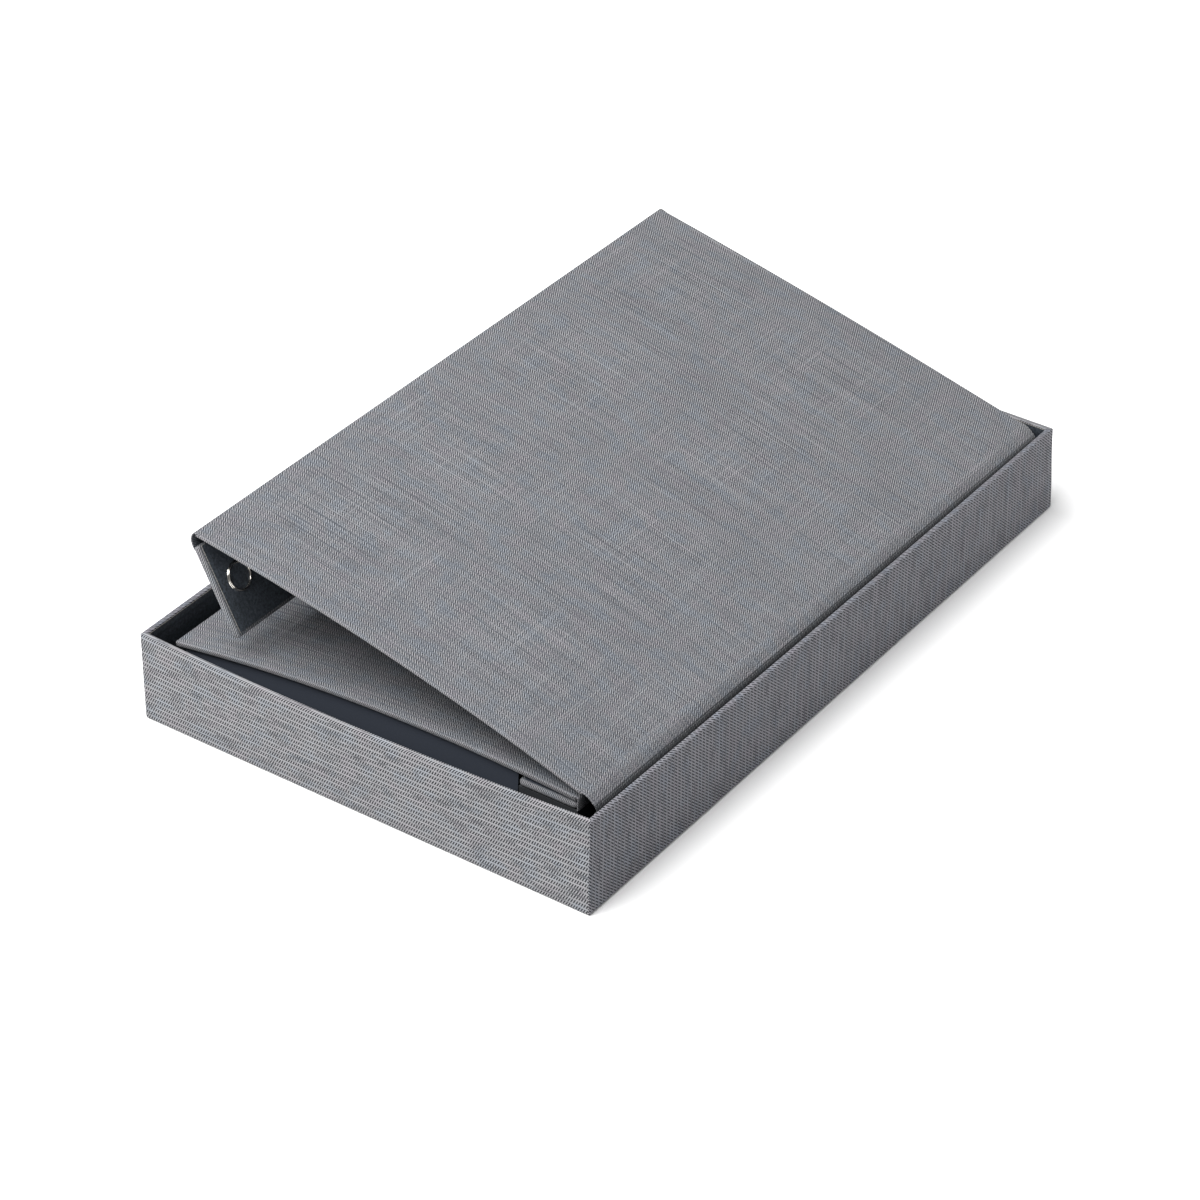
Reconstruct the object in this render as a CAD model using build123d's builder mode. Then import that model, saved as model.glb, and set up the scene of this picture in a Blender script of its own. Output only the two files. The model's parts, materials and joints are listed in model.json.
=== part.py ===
from build123d import *
import math
import os

# A cloth-covered archival box: a shallow tray that holds a post-bound document cover.
# A hinged lid with a magnetic fore-edge flap closes over it.
# X runs across the box (the fore edge is at -X, the hinge at +X), Y runs along it, Z is up.
# The origin is on the surface that the tray rests on, under its middle. Lengths are millimetres.

os.makedirs("parts", exist_ok=True)

# ---------------------------------------------------------------- driving dimensions
TRAY_WIDTH = 222.0          # along X
TRAY_LENGTH = 350.0         # along Y
TRAY_HEIGHT = 42.0
BOARD = 2.0                 # grey board of the tray, the back cover and the inner cover
LID_BOARD = 1.4
FLAP_BOARD = 2.8
STRIP_BOARD = 3.3
CLOTH = 0.35
PAPER = 0.15
TURN_IN = 15.0              # cloth turned under the tray
PAPER_INSET = 2.0           # bare cloth round the paper under the tray

COVER_LENGTH = 325.0        # every cover is this long along Y, outside its cloth
FACETS = 8                  # flat runs that stand for a gently arched cover
END_CLEARANCE = 0.35        # from a crease to the piece that turns about it

LID_FOLD = (-88.4, 89.9)    # X and Z of the raised lid's underside at its fore edge
LID_SLOPE = 13.7            # degrees that the lid falls towards its hinge
LID_WIDTH = 193.4
LID_RISE = 3.0              # crown of the lid over its width

COVER_EDGE = (-103.0, 33.85)  # X and Z of the inner cover's upper face at its fore edge
COVER_SLOPE = 2.5            # degrees that the inner cover rises towards its hinge
COVER_WIDTH = 199.3
COVER_RISE = 6.0
SIDE_PAPER = 0.3             # strip of lining paper that hangs under each end of the inner cover
SIDE_PAPER_DEPTH = 15.0
SIDE_PAPER_INSET = 1.65      # from the cover's end to the strip's outer face
SIDE_PAPER_MIDDLE = 86.25    # along the cover, from its fore edge
SIDE_PAPER_WIDTH = 166.5

FLAP_DEPTH = 41.5
FLAP_SLOPE = 63.2           # degrees below horizontal at which the flap hangs
FLAP_CREASE = (-90.0, 85.0)
FOLD_CURVE = [(-90.7, 87.2), (-90.4, 89.8)]      # X and Z where the flap's hinge cloth bends
FLAP_MAGNET_FROM_CREASE = 20.0
FLAP_MAGNET_FROM_END = 13.0

SPINE_CREASE = (107.2, 38.5)
HINGE_CURVE = [(104.3, 43.6), (106.6, 41.2)]     # X and Z where the lid's hinge cloth bends
LID_CREASE_GAP = 0.6
SPINE_HEIGHT = 35.0
SPINE_WALL_GAP = 0.95       # between the spine and the tray wall
SPINE_JOINT = 7.0           # between the back cover and the spine

STRIP_WIDTH = 27.7
STRIP_LOW = 36.0            # underside of the binding strip
STRIP_RIGHT = 96.4

POST_X = 80.5
POST_PITCH = 120.0
POST_COUNT = 3
BARREL_RADIUS = 2.5
BARREL_HEAD_RADIUS = 5.5
BARREL_HEAD = 1.0
SCREW_RADIUS = 1.6
SCREW_HEAD_RADIUS = 5.0
SCREW_HEAD = 0.7
SCREW_LENGTH = 12.0         # depth of the thread in the barrel
SCREW_TIP_GAP = 1.0
SCREW_SLOT = 0.9            # width
SCREW_SLOT_DEPTH = 0.35
SCREW_CHAMFER = 0.23
BORE_CLEARANCE = 0.05
GUARD_COUNT = 8
GUARD_GAP = 0.05

CUP_RADIUS = 6.2
CUP_WALL = 0.7
CUP_FLOOR = 0.5
CUP_DEPTH = 1.6             # how far the cup is let into the flap
CUP_PROUD = 0.5             # how far its rim stands out of the lining
MAGNET_RADIUS = 4.0
MAGNET_HOLE_RADIUS = 1.0
KEEPER_RADIUS = 6.0
KEEPER = 0.6

# ---------------------------------------------------------------- dimensions that follow
outer_x = TRAY_WIDTH / 2
outer_y = TRAY_LENGTH / 2
board_x = outer_x - CLOTH
board_y = outer_y - CLOTH
lining_x = board_x - BOARD
lining_y = board_y - BOARD
inner_x = lining_x - PAPER
inner_y = lining_y - PAPER
base_low = PAPER + CLOTH
base_top = base_low + BOARD
rim_low = TRAY_HEIGHT - CLOTH
floor_top = base_top + PAPER

half_cloth = COVER_LENGTH / 2
half_board = half_cloth - CLOTH

lid_board_top = PAPER + LID_BOARD
lid_top = lid_board_top + CLOTH
cover_depth = CLOTH + BOARD + PAPER
flap_depth_in = CLOTH + FLAP_BOARD + PAPER
hinge_thickness = CLOTH + PAPER

back_low = floor_top
back_board_low = back_low + CLOTH
back_board_top = back_board_low + BOARD
back_top = back_board_top + PAPER
spine_right = inner_x - SPINE_WALL_GAP
spine_board_right = spine_right - CLOTH
spine_board_left = spine_board_right - BOARD
spine_left = spine_board_left - PAPER
spine_top = back_board_low + SPINE_HEIGHT
back_left = COVER_EDGE[0]
back_right = spine_left - SPINE_JOINT

strip_left = STRIP_RIGHT - STRIP_WIDTH
strip_board_low = STRIP_LOW + CLOTH
strip_board_top = strip_board_low + STRIP_BOARD
strip_top = strip_board_top + PAPER
guard_height = (STRIP_LOW - back_top) / GUARD_COUNT - GUARD_GAP


def chord_plane(start, degrees_down):
    """A plane square to Y: its own x runs along a cover, its own y stands off the cover."""
    slope = math.radians(degrees_down)
    return Plane(
        origin=(start[0], 0, start[1]),
        x_dir=(math.cos(slope), 0, -math.sin(slope)),
        z_dir=(0, -1, 0),
    )


def arched_path(width, rise, start=0.0):
    """Points of a shallow crown over a straight chord."""
    stations = [i / FACETS for i in range(FACETS + 1)]
    return [Vector(start + width * t, 4 * rise * t * (1 - t)) for t in stations]


def extended(path, before, after=0.0):
    """The same path with its first and last runs made longer."""
    first = path[0] - (path[1] - path[0]).normalized() * before
    last = path[-1] + (path[-1] - path[-2]).normalized() * after
    return [first] + path[1:-1] + [last]


def parallel(path, distance):
    """The path moved sideways by a distance to its left, with mitred corners."""
    runs = [(b - a).normalized() for a, b in zip(path, path[1:])]
    normals = [Vector(-run.Y, run.X) for run in runs]
    before = [normals[0]] + normals
    after = normals + [normals[-1]]
    moved = []
    for point, one, other in zip(path, before, after):
        mitre = (one + other) / (1 + one.dot(other))
        moved.append(point + mitre * distance)
    return moved


def layer_outline(path, low, high):
    """Corners of the layer between two parallels of a path."""
    return parallel(path, low) + parallel(path, high)[::-1]


def surface_plane(sheet, path, along, height):
    """A plane that lies over the first run of a cover's path, with +Z standing off the cover."""
    run = (path[1] - path[0]).normalized()
    normal = Vector(-run.Y, run.X)
    place = path[0] + run * along + normal * height
    return Plane(
        origin=sheet.from_local_coords(place),
        x_dir=sheet.x_dir * run.X + sheet.y_dir * run.Y,
        z_dir=sheet.x_dir * normal.X + sheet.y_dir * normal.Y,
    )


def layer(sheet, path, low, high, half_length, label):
    """One sheet of a cover, square at its edges."""
    with BuildPart() as sheet_layer:
        with BuildSketch(sheet):
            with BuildLine():
                Polyline(*layer_outline(path, low, high), close=True)
            make_face()
        extrude(amount=half_length, both=True)
    sheet_layer.part.label = label
    return sheet_layer


def post_points():
    """Centres of the binding posts along Y."""
    return [(POST_X, (i - (POST_COUNT - 1) / 2) * POST_PITCH) for i in range(POST_COUNT)]


# ---------------------------------------------------------------- tray
with BuildPart() as tray_underside_paper:
    with BuildSketch(Plane.XY):
        Rectangle(TRAY_WIDTH - 2 * PAPER_INSET, TRAY_LENGTH - 2 * PAPER_INSET)
    extrude(amount=PAPER)
tray_underside_paper.part.label = "tray_underside_paper"

with BuildPart() as tray_filler_card:
    with BuildSketch(Plane.XY.offset(PAPER)):
        Rectangle(TRAY_WIDTH - 2 * TURN_IN, TRAY_LENGTH - 2 * TURN_IN)
    extrude(amount=CLOTH)
tray_filler_card.part.label = "tray_filler_card"

with BuildPart() as tray_cover_cloth:
    with BuildSketch(Plane.XY.offset(PAPER)):
        Rectangle(TRAY_WIDTH, TRAY_LENGTH)
    extrude(amount=TRAY_HEIGHT - PAPER)
    fillet(tray_cover_cloth.edges().filter_by(Axis.Z), CLOTH)
    with BuildSketch(Plane.XY.offset(base_low)):
        Rectangle(2 * board_x, 2 * board_y)
    extrude(amount=rim_low - base_low, mode=Mode.SUBTRACT)
    with BuildSketch(Plane.XY.offset(rim_low)):
        Rectangle(2 * inner_x, 2 * inner_y)
    extrude(amount=CLOTH, mode=Mode.SUBTRACT)
    with BuildSketch(Plane.XY.offset(PAPER)):
        Rectangle(TRAY_WIDTH - 2 * TURN_IN, TRAY_LENGTH - 2 * TURN_IN)
    extrude(amount=CLOTH, mode=Mode.SUBTRACT)
tray_cover_cloth.part.label = "tray_cover_cloth"

with BuildPart() as tray_base_board:
    with BuildSketch(Plane.XY.offset(base_low)):
        Rectangle(2 * lining_x, 2 * lining_y)
    extrude(amount=BOARD)
tray_base_board.part.label = "tray_base_board"


def wall(centre_x, centre_y, size_x, size_y, label):
    """One upright wall board of the tray."""
    with BuildPart() as board:
        with BuildSketch(Plane.XY.offset(base_low)):
            with Locations((centre_x, centre_y)):
                Rectangle(size_x, size_y)
        extrude(amount=rim_low - base_low)
    board.part.label = label
    return board


long_wall_x = board_x - BOARD / 2
short_wall_y = board_y - BOARD / 2
tray_wall_hinge = wall(long_wall_x, 0, BOARD, 2 * board_y, "tray_wall_hinge")
tray_wall_fore_edge = wall(-long_wall_x, 0, BOARD, 2 * board_y, "tray_wall_fore_edge")
tray_wall_head = wall(0, short_wall_y, 2 * lining_x, BOARD, "tray_wall_head")
tray_wall_tail = wall(0, -short_wall_y, 2 * lining_x, BOARD, "tray_wall_tail")

with BuildPart() as tray_wall_lining:
    with BuildSketch(Plane.XY.offset(base_top)):
        Rectangle(2 * lining_x, 2 * lining_y)
        Rectangle(2 * inner_x, 2 * inner_y, mode=Mode.SUBTRACT)
    extrude(amount=rim_low - base_top)
tray_wall_lining.part.label = "tray_wall_lining"

with BuildPart() as tray_floor_lining:
    with BuildSketch(Plane.XY.offset(base_top)):
        Rectangle(2 * inner_x, 2 * inner_y)
    extrude(amount=PAPER)
tray_floor_lining.part.label = "tray_floor_lining"

# ---------------------------------------------------------------- back cover and spine
back_middle = (back_left + back_right) / 2
back_width = back_right - back_left

with BuildPart() as back_cover_board:
    with BuildSketch(Plane.XY.offset(back_board_low)):
        with Locations((back_middle, 0)):
            Rectangle(back_width, 2 * half_board)
        with Locations(*post_points()):
            Circle(BARREL_RADIUS + BORE_CLEARANCE, mode=Mode.SUBTRACT)
    extrude(amount=BOARD)
    with BuildSketch(Plane.XY.offset(back_board_low)):
        with Locations(*post_points()):
            Circle(BARREL_HEAD_RADIUS + BORE_CLEARANCE)
    extrude(amount=BARREL_HEAD, mode=Mode.SUBTRACT)
back_cover_board.part.label = "back_cover_board"

with BuildPart() as back_cover_lining:
    with BuildSketch(Plane.XY.offset(back_board_top)):
        with Locations((back_middle, 0)):
            Rectangle(back_width, 2 * half_board)
        with Locations(*post_points()):
            Circle(BARREL_RADIUS + BORE_CLEARANCE, mode=Mode.SUBTRACT)
    extrude(amount=PAPER)
back_cover_lining.part.label = "back_cover_lining"

with BuildPart() as case_cloth:
    with BuildSketch(Plane.XY.offset(back_low)):
        with Locations(((back_left - CLOTH + spine_right) / 2, 0)):
            Rectangle(spine_right - back_left + CLOTH, COVER_LENGTH)
    extrude(amount=back_top - back_low)
    with BuildSketch(Plane.XY.offset(back_board_low)):
        with Locations((back_middle, 0)):
            Rectangle(back_width, 2 * half_board)
    extrude(amount=back_top - back_board_low, mode=Mode.SUBTRACT)
    with BuildSketch(Plane.XY.offset(back_board_low)):
        with Locations((back_right + SPINE_JOINT / 2, 0)):
            Rectangle(SPINE_JOINT, COVER_LENGTH)
    extrude(amount=back_top - back_board_low, mode=Mode.SUBTRACT)
    with BuildSketch(Plane.XY.offset(back_low)):
        with Locations(((spine_left + spine_right) / 2, 0)):
            Rectangle(spine_right - spine_left, COVER_LENGTH)
    extrude(amount=spine_top - back_low)
    with BuildSketch(Plane.XY.offset(back_board_low)):
        with Locations(((spine_left + spine_board_right) / 2, 0)):
            Rectangle(spine_board_right - spine_left, 2 * half_board)
    extrude(amount=spine_top - CLOTH - back_board_low, mode=Mode.SUBTRACT)
case_cloth.part.label = "case_cloth"

with BuildPart() as spine_board:
    with BuildSketch(Plane.XY.offset(back_board_low)):
        with Locations(((spine_board_left + spine_board_right) / 2, 0)):
            Rectangle(BOARD, 2 * half_board)
    extrude(amount=spine_top - CLOTH - back_board_low)
spine_board.part.label = "spine_board"

with BuildPart() as spine_lining:
    with BuildSketch(Plane.XY.offset(back_board_low)):
        with Locations(((spine_left + spine_board_left) / 2, 0)):
            Rectangle(PAPER, 2 * half_board)
    extrude(amount=spine_top - CLOTH - back_board_low)
spine_lining.part.label = "spine_lining"

# ---------------------------------------------------------------- binding edge
strip_middle = (strip_left + STRIP_RIGHT) / 2

with BuildPart() as guard_strips:
    for i in range(GUARD_COUNT):
        with BuildSketch(Plane.XY.offset(back_top + i * (guard_height + GUARD_GAP))):
            with Locations((strip_middle, 0)):
                Rectangle(STRIP_WIDTH, 2 * half_board)
            with Locations(*post_points()):
                Circle(BARREL_RADIUS + BORE_CLEARANCE, mode=Mode.SUBTRACT)
        extrude(amount=guard_height)
guard_strips.part.label = "guard_strips"

with BuildPart() as binding_strip_board:
    with BuildSketch(Plane.XY.offset(strip_board_low)):
        with Locations((strip_middle, 0)):
            Rectangle(STRIP_WIDTH - 2 * CLOTH, 2 * half_board)
        with Locations(*post_points()):
            Circle(BARREL_RADIUS + BORE_CLEARANCE, mode=Mode.SUBTRACT)
    extrude(amount=STRIP_BOARD)
binding_strip_board.part.label = "binding_strip_board"

with BuildPart() as binding_strip_lining:
    with BuildSketch(Plane.XY.offset(strip_board_top)):
        with Locations((strip_middle, 0)):
            Rectangle(STRIP_WIDTH - 2 * CLOTH, 2 * half_board)
        with Locations(*post_points()):
            Circle(SCREW_HEAD_RADIUS + BORE_CLEARANCE, mode=Mode.SUBTRACT)
    extrude(amount=PAPER)
binding_strip_lining.part.label = "binding_strip_lining"

with BuildPart() as binding_strip_cloth:
    with BuildSketch(Plane.XY.offset(STRIP_LOW)):
        with Locations((strip_middle, 0)):
            Rectangle(STRIP_WIDTH, COVER_LENGTH)
    extrude(amount=strip_top - STRIP_LOW)
    with BuildSketch(Plane.XY.offset(strip_board_low)):
        with Locations((strip_middle, 0)):
            Rectangle(STRIP_WIDTH - 2 * CLOTH, 2 * half_board)
    extrude(amount=strip_top - strip_board_low, mode=Mode.SUBTRACT)
    with BuildSketch(Plane.XY.offset(STRIP_LOW)):
        with Locations(*post_points()):
            Circle(BARREL_RADIUS + BORE_CLEARANCE)
    extrude(amount=CLOTH, mode=Mode.SUBTRACT)
binding_strip_cloth.part.label = "binding_strip_cloth"

barrel_top = strip_board_top - PAPER

with BuildPart() as post_barrels:
    with BuildSketch(Plane.XY.offset(back_board_low)):
        with Locations(*post_points()):
            Circle(BARREL_HEAD_RADIUS)
    extrude(amount=BARREL_HEAD)
    with BuildSketch(Plane.XY.offset(back_board_low + BARREL_HEAD)):
        with Locations(*post_points()):
            Circle(BARREL_RADIUS)
    extrude(amount=barrel_top - back_board_low - BARREL_HEAD)
    with BuildSketch(Plane.XY.offset(barrel_top - SCREW_LENGTH)):
        with Locations(*post_points()):
            Circle(SCREW_RADIUS + BORE_CLEARANCE)
    extrude(amount=SCREW_LENGTH, mode=Mode.SUBTRACT)
post_barrels.part.label = "post_barrels"

with BuildPart() as post_screws:
    with BuildSketch(Plane.XY.offset(barrel_top - SCREW_LENGTH + SCREW_TIP_GAP)):
        with Locations(*post_points()):
            Circle(SCREW_RADIUS)
    extrude(amount=strip_board_top - barrel_top + SCREW_LENGTH - SCREW_TIP_GAP)
    with BuildSketch(Plane.XY.offset(strip_board_top)):
        with Locations(*post_points()):
            Circle(SCREW_HEAD_RADIUS)
    extrude(amount=SCREW_HEAD)
    chamfer(post_screws.faces().sort_by(Axis.Z)[-POST_COUNT:].edges(), SCREW_CHAMFER)
    with BuildSketch(Plane.XY.offset(strip_board_top + SCREW_HEAD - SCREW_SLOT_DEPTH)):
        with Locations(*post_points()):
            Rectangle(2 * SCREW_HEAD_RADIUS, SCREW_SLOT)
    extrude(amount=SCREW_SLOT_DEPTH, mode=Mode.SUBTRACT)
post_screws.part.label = "post_screws"

# ---------------------------------------------------------------- inner cover
cover_plane = chord_plane(COVER_EDGE, -COVER_SLOPE)
cover_path = arched_path(COVER_WIDTH, COVER_RISE)
cover_end_z = COVER_EDGE[1] + COVER_WIDTH * math.sin(math.radians(COVER_SLOPE))
cover_crease_z = cover_end_z - CLOTH
side_paper_inside = half_cloth - SIDE_PAPER_INSET - SIDE_PAPER

inner_cover_board = layer(
    cover_plane, cover_path, -CLOTH - BOARD, -CLOTH, half_board, "inner_cover_board")
inner_cover_lining = layer(
    cover_plane, cover_path, -cover_depth, -CLOTH - BOARD, half_board, "inner_cover_lining")

with BuildPart() as inner_cover_cloth:
    with BuildSketch(cover_plane):
        with BuildLine():
            Polyline(*layer_outline(extended(cover_path, CLOTH), -cover_depth, 0), close=True)
        make_face()
    extrude(amount=half_cloth, both=True)
    with BuildSketch(cover_plane):
        with BuildLine():
            Polyline(*layer_outline(cover_path, -cover_depth, -CLOTH), close=True)
        make_face()
    extrude(amount=half_board, both=True, mode=Mode.SUBTRACT)
inner_cover_cloth.part.label = "inner_cover_cloth"

with BuildPart() as inner_cover_side_papers:
    with BuildSketch(cover_plane):
        with BuildLine():
            Polyline(
                *layer_outline(cover_path, -cover_depth - SIDE_PAPER_DEPTH, -cover_depth), close=True)
        make_face()
        with Locations((SIDE_PAPER_MIDDLE, 0)):
            Rectangle(SIDE_PAPER_WIDTH, 4 * SIDE_PAPER_DEPTH, mode=Mode.INTERSECT)
    extrude(amount=side_paper_inside + SIDE_PAPER, both=True)
    with BuildSketch(cover_plane):
        with Locations((SIDE_PAPER_MIDDLE, 0)):
            Rectangle(COVER_WIDTH, 4 * SIDE_PAPER_DEPTH)
    extrude(amount=side_paper_inside, both=True, mode=Mode.SUBTRACT)
inner_cover_side_papers.part.label = "inner_cover_side_papers"

with BuildPart() as inner_cover_hinge_cloth:
    with BuildSketch(Plane.XY.offset(STRIP_LOW)):
        with Locations((STRIP_RIGHT + hinge_thickness / 2, 0)):
            Rectangle(hinge_thickness, COVER_LENGTH)
    extrude(amount=cover_crease_z - END_CLEARANCE - STRIP_LOW)
inner_cover_hinge_cloth.part.label = "inner_cover_hinge_cloth"

# ---------------------------------------------------------------- lid
lid_plane = chord_plane(LID_FOLD, LID_SLOPE)
lid_path = arched_path(LID_WIDTH, LID_RISE)
magnet_y = half_cloth - FLAP_MAGNET_FROM_END
keeper_plane = surface_plane(lid_plane, lid_path, FLAP_MAGNET_FROM_CREASE, PAPER)

with BuildPart() as lid_keepers:
    with BuildSketch(keeper_plane):
        with Locations((0, magnet_y), (0, -magnet_y)):
            Circle(KEEPER_RADIUS)
    extrude(amount=KEEPER)
lid_keepers.part.label = "lid_keepers"

with BuildPart() as lid_board:
    with BuildSketch(lid_plane):
        with BuildLine():
            Polyline(*layer_outline(lid_path, PAPER, lid_board_top), close=True)
        make_face()
    extrude(amount=half_board, both=True)
    with BuildSketch(keeper_plane):
        with Locations((0, magnet_y), (0, -magnet_y)):
            Circle(KEEPER_RADIUS + BORE_CLEARANCE)
    extrude(amount=KEEPER, mode=Mode.SUBTRACT)
lid_board.part.label = "lid_board"

lid_lining = layer(lid_plane, lid_path, 0, PAPER, half_board, "lid_lining")

with BuildPart() as lid_cloth:
    with BuildSketch(lid_plane):
        with BuildLine():
            Polyline(*layer_outline(extended(lid_path, CLOTH), 0, lid_top), close=True)
        make_face()
    extrude(amount=half_cloth, both=True)
    with BuildSketch(lid_plane):
        with BuildLine():
            Polyline(*layer_outline(lid_path, 0, lid_board_top), close=True)
        make_face()
    extrude(amount=half_board, both=True, mode=Mode.SUBTRACT)
lid_cloth.part.label = "lid_cloth"

# ---------------------------------------------------------------- hinge of the lid
lid_crease = lid_plane.from_local_coords((LID_WIDTH + LID_CREASE_GAP, lid_top - CLOTH, 0))
hinge_path = [
    Vector(lid_crease.X, lid_crease.Z),
    *[Vector(*bend) for bend in HINGE_CURVE],
    Vector(*SPINE_CREASE),
]
hinge_middle = hinge_thickness / 2
lid_hinge_cloth = layer(
    Plane.XZ, hinge_path, hinge_middle - CLOTH, hinge_middle, half_cloth, "lid_hinge_cloth")
lid_hinge_lining = layer(
    Plane.XZ, hinge_path, -hinge_middle, hinge_middle - CLOTH, half_board, "lid_hinge_lining")

# ---------------------------------------------------------------- hinge of the flap
fold_crease = lid_plane.from_local_coords((-CLOTH - 2 * END_CLEARANCE, lid_top - CLOTH, 0))
fold_path = [
    Vector(*FLAP_CREASE),
    *[Vector(*bend) for bend in FOLD_CURVE],
    Vector(fold_crease.X, fold_crease.Z),
]
flap_hinge_cloth = layer(
    Plane.XZ, fold_path, hinge_middle - CLOTH, hinge_middle, half_cloth, "flap_hinge_cloth")
flap_hinge_lining = layer(
    Plane.XZ, fold_path, -hinge_middle, hinge_middle - CLOTH, half_board, "flap_hinge_lining")

# ---------------------------------------------------------------- flap
flap_plane = chord_plane(FLAP_CREASE, FLAP_SLOPE).move(
    Location((-hinge_middle * math.sin(math.radians(FLAP_SLOPE)), 0,
              -hinge_middle * math.cos(math.radians(FLAP_SLOPE)))))
flap_path = [Vector(2 * END_CLEARANCE, 0), Vector(FLAP_DEPTH, 0)]
button_path = [Vector(0, 0), Vector(FLAP_DEPTH, 0)]     # from the crease itself
button_places = [(0, magnet_y), (0, -magnet_y)]


def button_plane(height):
    """The plane across both flap buttons, at a height over the flap's outer face."""
    return surface_plane(flap_plane, button_path, FLAP_MAGNET_FROM_CREASE, height)


pocket_floor = flap_depth_in - CUP_DEPTH

with BuildPart() as flap_board:
    with BuildSketch(flap_plane):
        with BuildLine():
            Polyline(*layer_outline(flap_path, CLOTH, CLOTH + FLAP_BOARD), close=True)
        make_face()
    extrude(amount=half_board, both=True)
    with BuildSketch(button_plane(pocket_floor)):
        with Locations(*button_places):
            Circle(CUP_RADIUS + BORE_CLEARANCE)
    extrude(amount=CUP_DEPTH, mode=Mode.SUBTRACT)
flap_board.part.label = "flap_board"

with BuildPart() as flap_lining:
    with BuildSketch(flap_plane):
        with BuildLine():
            Polyline(*layer_outline(flap_path, CLOTH + FLAP_BOARD, flap_depth_in), close=True)
        make_face()
    extrude(amount=half_board, both=True)
    with BuildSketch(button_plane(pocket_floor)):
        with Locations(*button_places):
            Circle(CUP_RADIUS + BORE_CLEARANCE)
    extrude(amount=CUP_DEPTH, mode=Mode.SUBTRACT)
flap_lining.part.label = "flap_lining"

with BuildPart() as flap_cloth:
    with BuildSketch(flap_plane):
        with BuildLine():
            Polyline(*layer_outline(extended(flap_path, 0, CLOTH), 0, flap_depth_in), close=True)
        make_face()
    extrude(amount=half_cloth, both=True)
    with BuildSketch(flap_plane):
        with BuildLine():
            Polyline(*layer_outline(flap_path, CLOTH, flap_depth_in), close=True)
        make_face()
    extrude(amount=half_board, both=True, mode=Mode.SUBTRACT)
flap_cloth.part.label = "flap_cloth"

with BuildPart() as flap_magnet_cups:
    with BuildSketch(button_plane(pocket_floor)):
        with Locations(*button_places):
            Circle(CUP_RADIUS)
    extrude(amount=CUP_DEPTH + CUP_PROUD)
    with BuildSketch(button_plane(pocket_floor + CUP_FLOOR)):
        with Locations(*button_places):
            Circle(CUP_RADIUS - CUP_WALL)
    extrude(amount=CUP_DEPTH, mode=Mode.SUBTRACT)
flap_magnet_cups.part.label = "flap_magnet_cups"

with BuildPart() as flap_magnets:
    with BuildSketch(button_plane(pocket_floor + CUP_FLOOR)):
        with Locations(*button_places):
            Circle(MAGNET_RADIUS)
            Circle(MAGNET_HOLE_RADIUS, mode=Mode.SUBTRACT)
    extrude(amount=CUP_DEPTH - CUP_FLOOR)
flap_magnets.part.label = "flap_magnets"

# ---------------------------------------------------------------- written pieces
pieces = [
    tray_underside_paper, tray_filler_card, tray_cover_cloth, tray_base_board,
    tray_wall_hinge, tray_wall_fore_edge, tray_wall_head, tray_wall_tail,
    tray_wall_lining, tray_floor_lining,
    back_cover_board, back_cover_lining, case_cloth, spine_board, spine_lining,
    guard_strips, post_barrels, post_screws,
    binding_strip_board, binding_strip_lining, binding_strip_cloth,
    inner_cover_board, inner_cover_lining, inner_cover_side_papers, inner_cover_cloth,
    inner_cover_hinge_cloth,
    lid_board, lid_lining, lid_cloth, lid_keepers, lid_hinge_cloth, lid_hinge_lining,
    flap_hinge_cloth, flap_hinge_lining, flap_board, flap_lining, flap_cloth,
    flap_magnet_cups, flap_magnets,
]
for piece in pieces:
    export_step(piece.part, f"parts/{piece.part.label}.step")
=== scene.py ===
import json
import math

import bpy
import numpy as np
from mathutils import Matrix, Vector


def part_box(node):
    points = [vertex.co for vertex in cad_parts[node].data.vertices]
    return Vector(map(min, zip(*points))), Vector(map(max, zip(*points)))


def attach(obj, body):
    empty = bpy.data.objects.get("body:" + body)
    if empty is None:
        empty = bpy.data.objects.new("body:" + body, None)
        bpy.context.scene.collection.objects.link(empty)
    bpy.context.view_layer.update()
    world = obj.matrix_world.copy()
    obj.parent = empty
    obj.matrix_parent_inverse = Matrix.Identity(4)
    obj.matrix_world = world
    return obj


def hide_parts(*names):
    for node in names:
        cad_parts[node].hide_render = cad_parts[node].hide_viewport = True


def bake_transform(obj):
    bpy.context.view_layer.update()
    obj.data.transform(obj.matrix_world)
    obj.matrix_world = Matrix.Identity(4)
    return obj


# The looks of a cloth-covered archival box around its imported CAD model.
# Shapes are worked out in millimetres in the CAD model's own frame and become metres in build().
# X runs across the box (fore edge at -X, hinge at +X), Y along it, Z up.

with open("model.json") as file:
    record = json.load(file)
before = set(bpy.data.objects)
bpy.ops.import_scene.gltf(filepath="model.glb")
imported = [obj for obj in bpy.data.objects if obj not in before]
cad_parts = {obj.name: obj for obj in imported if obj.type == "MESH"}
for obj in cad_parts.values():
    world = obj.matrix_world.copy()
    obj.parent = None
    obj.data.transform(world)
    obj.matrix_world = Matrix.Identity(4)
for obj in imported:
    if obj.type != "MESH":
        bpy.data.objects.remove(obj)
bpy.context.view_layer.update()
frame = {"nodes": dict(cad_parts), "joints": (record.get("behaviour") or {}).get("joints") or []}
MM = 0.001

# ---------------------------------------------------------------- sizes read from the frame


def span(node):
    """Lowest and highest corner of a CAD node, in millimetres."""
    low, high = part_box(node)
    return np.array(low) / MM, np.array(high) / MM


def crease(joint):
    """X and Z of a hinge's axis, in millimetres."""
    found = next(j for j in frame["joints"] if j["name"] == joint)
    x, _, z = found["pos_m"]
    return np.array([x, z]) / MM


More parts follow.
